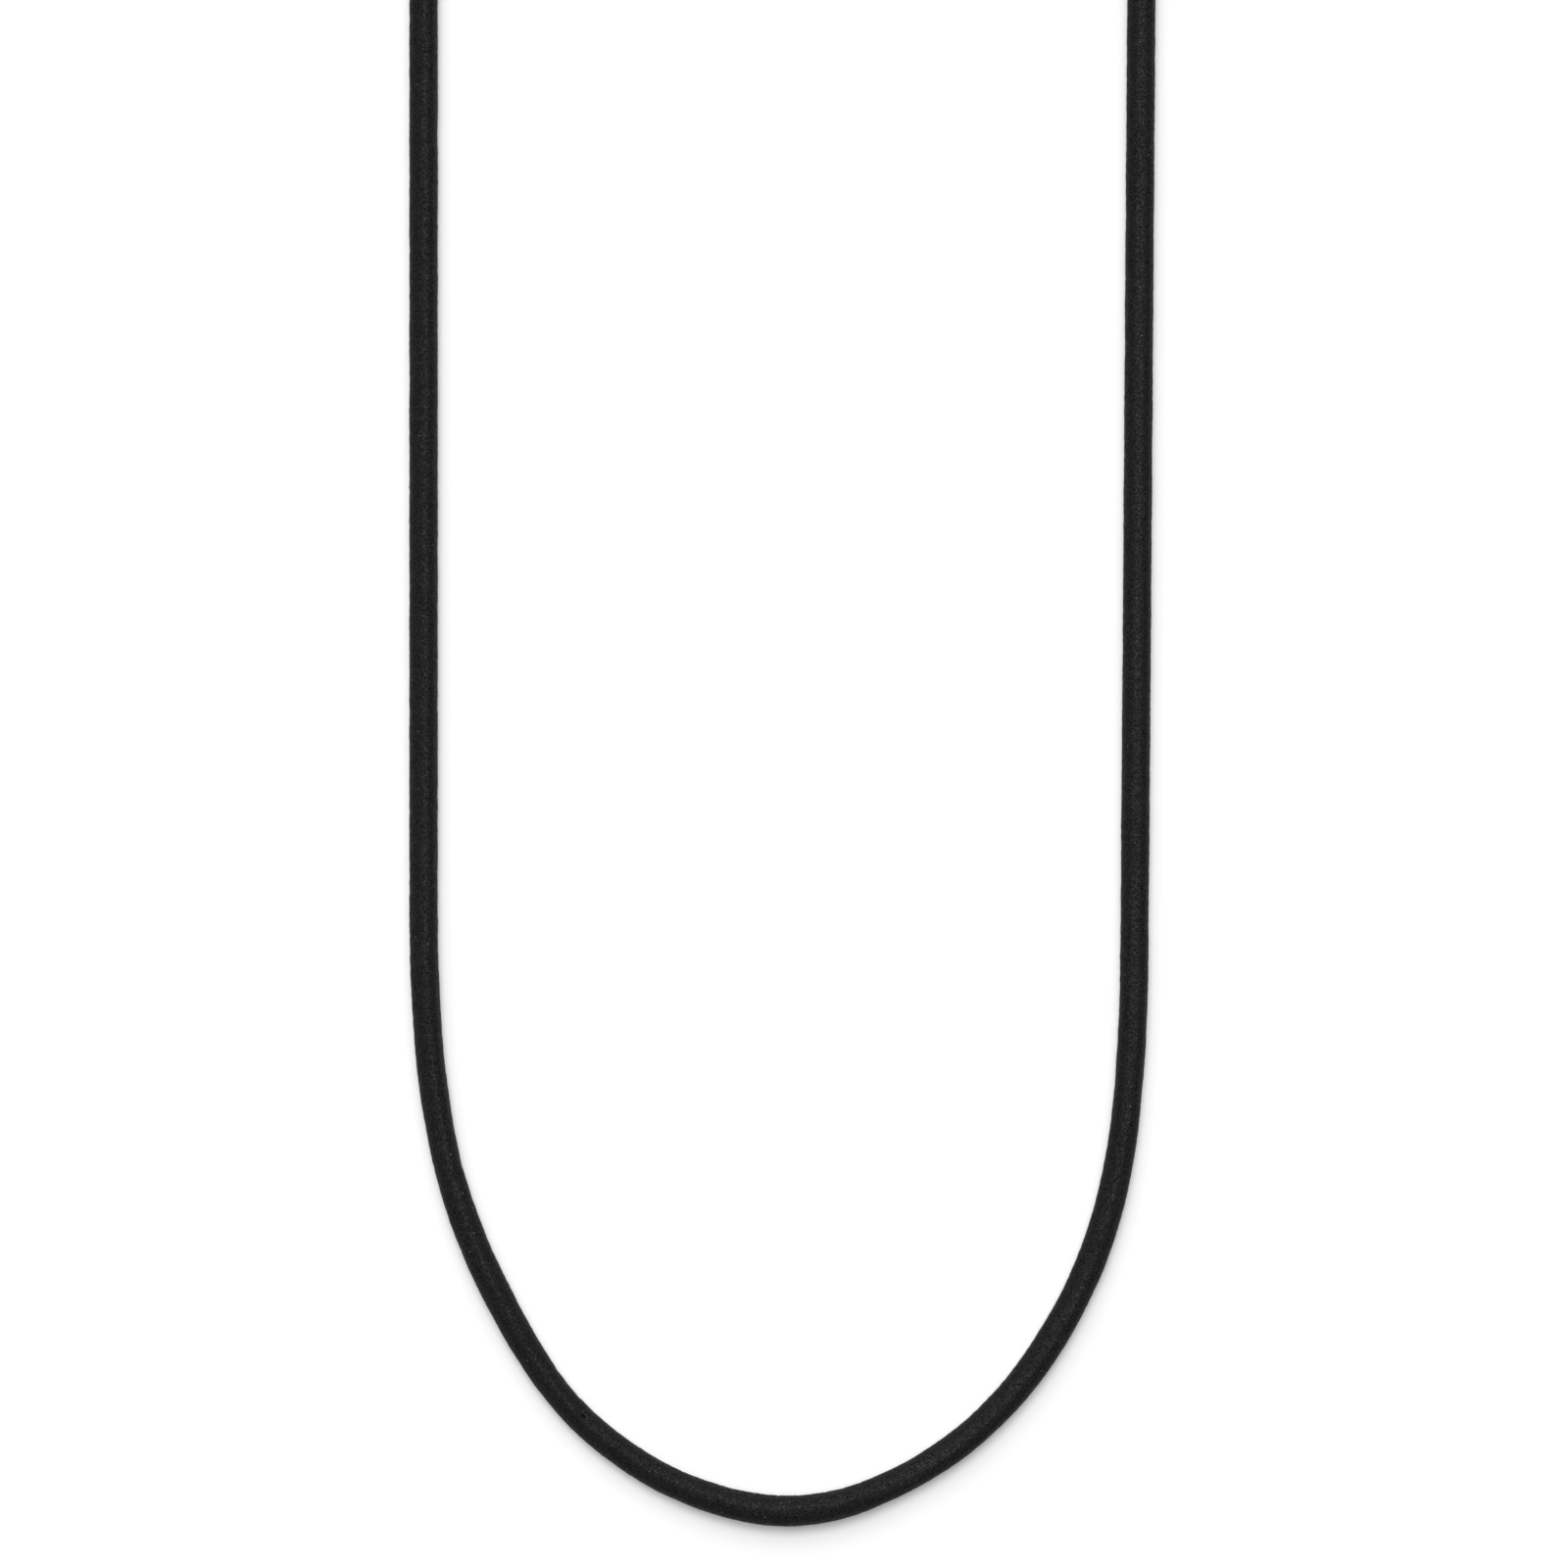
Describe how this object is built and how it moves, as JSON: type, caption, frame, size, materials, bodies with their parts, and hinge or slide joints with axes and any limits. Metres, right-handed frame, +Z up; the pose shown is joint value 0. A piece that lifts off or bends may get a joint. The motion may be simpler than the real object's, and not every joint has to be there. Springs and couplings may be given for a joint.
{
  "type": "leather cord necklace",
  "caption": "Plain round black leather cord laid flat in a long U, made into a loop by a small turned steel barrel clasp at the back of the neck.",
  "frame": {"origin": "on the surface that the necklace lies on, under the middle of the clasp", "axes": "+X along the clasp, -Y from the clasp to the lowest point of the U, +Z up from the surface"},
  "size_m": [0.0797, 0.2145, 0.0055],
  "materials": {
    "black_leather": "fine-grained, matt with a faint waxy sheen",
    "clasp_steel": "turned, satin"
  },
  "bodies": {
    "root": {"leather_cord": "black_leather", "barrel_clasp": "clasp_steel"}
  },
  "joints": []
}
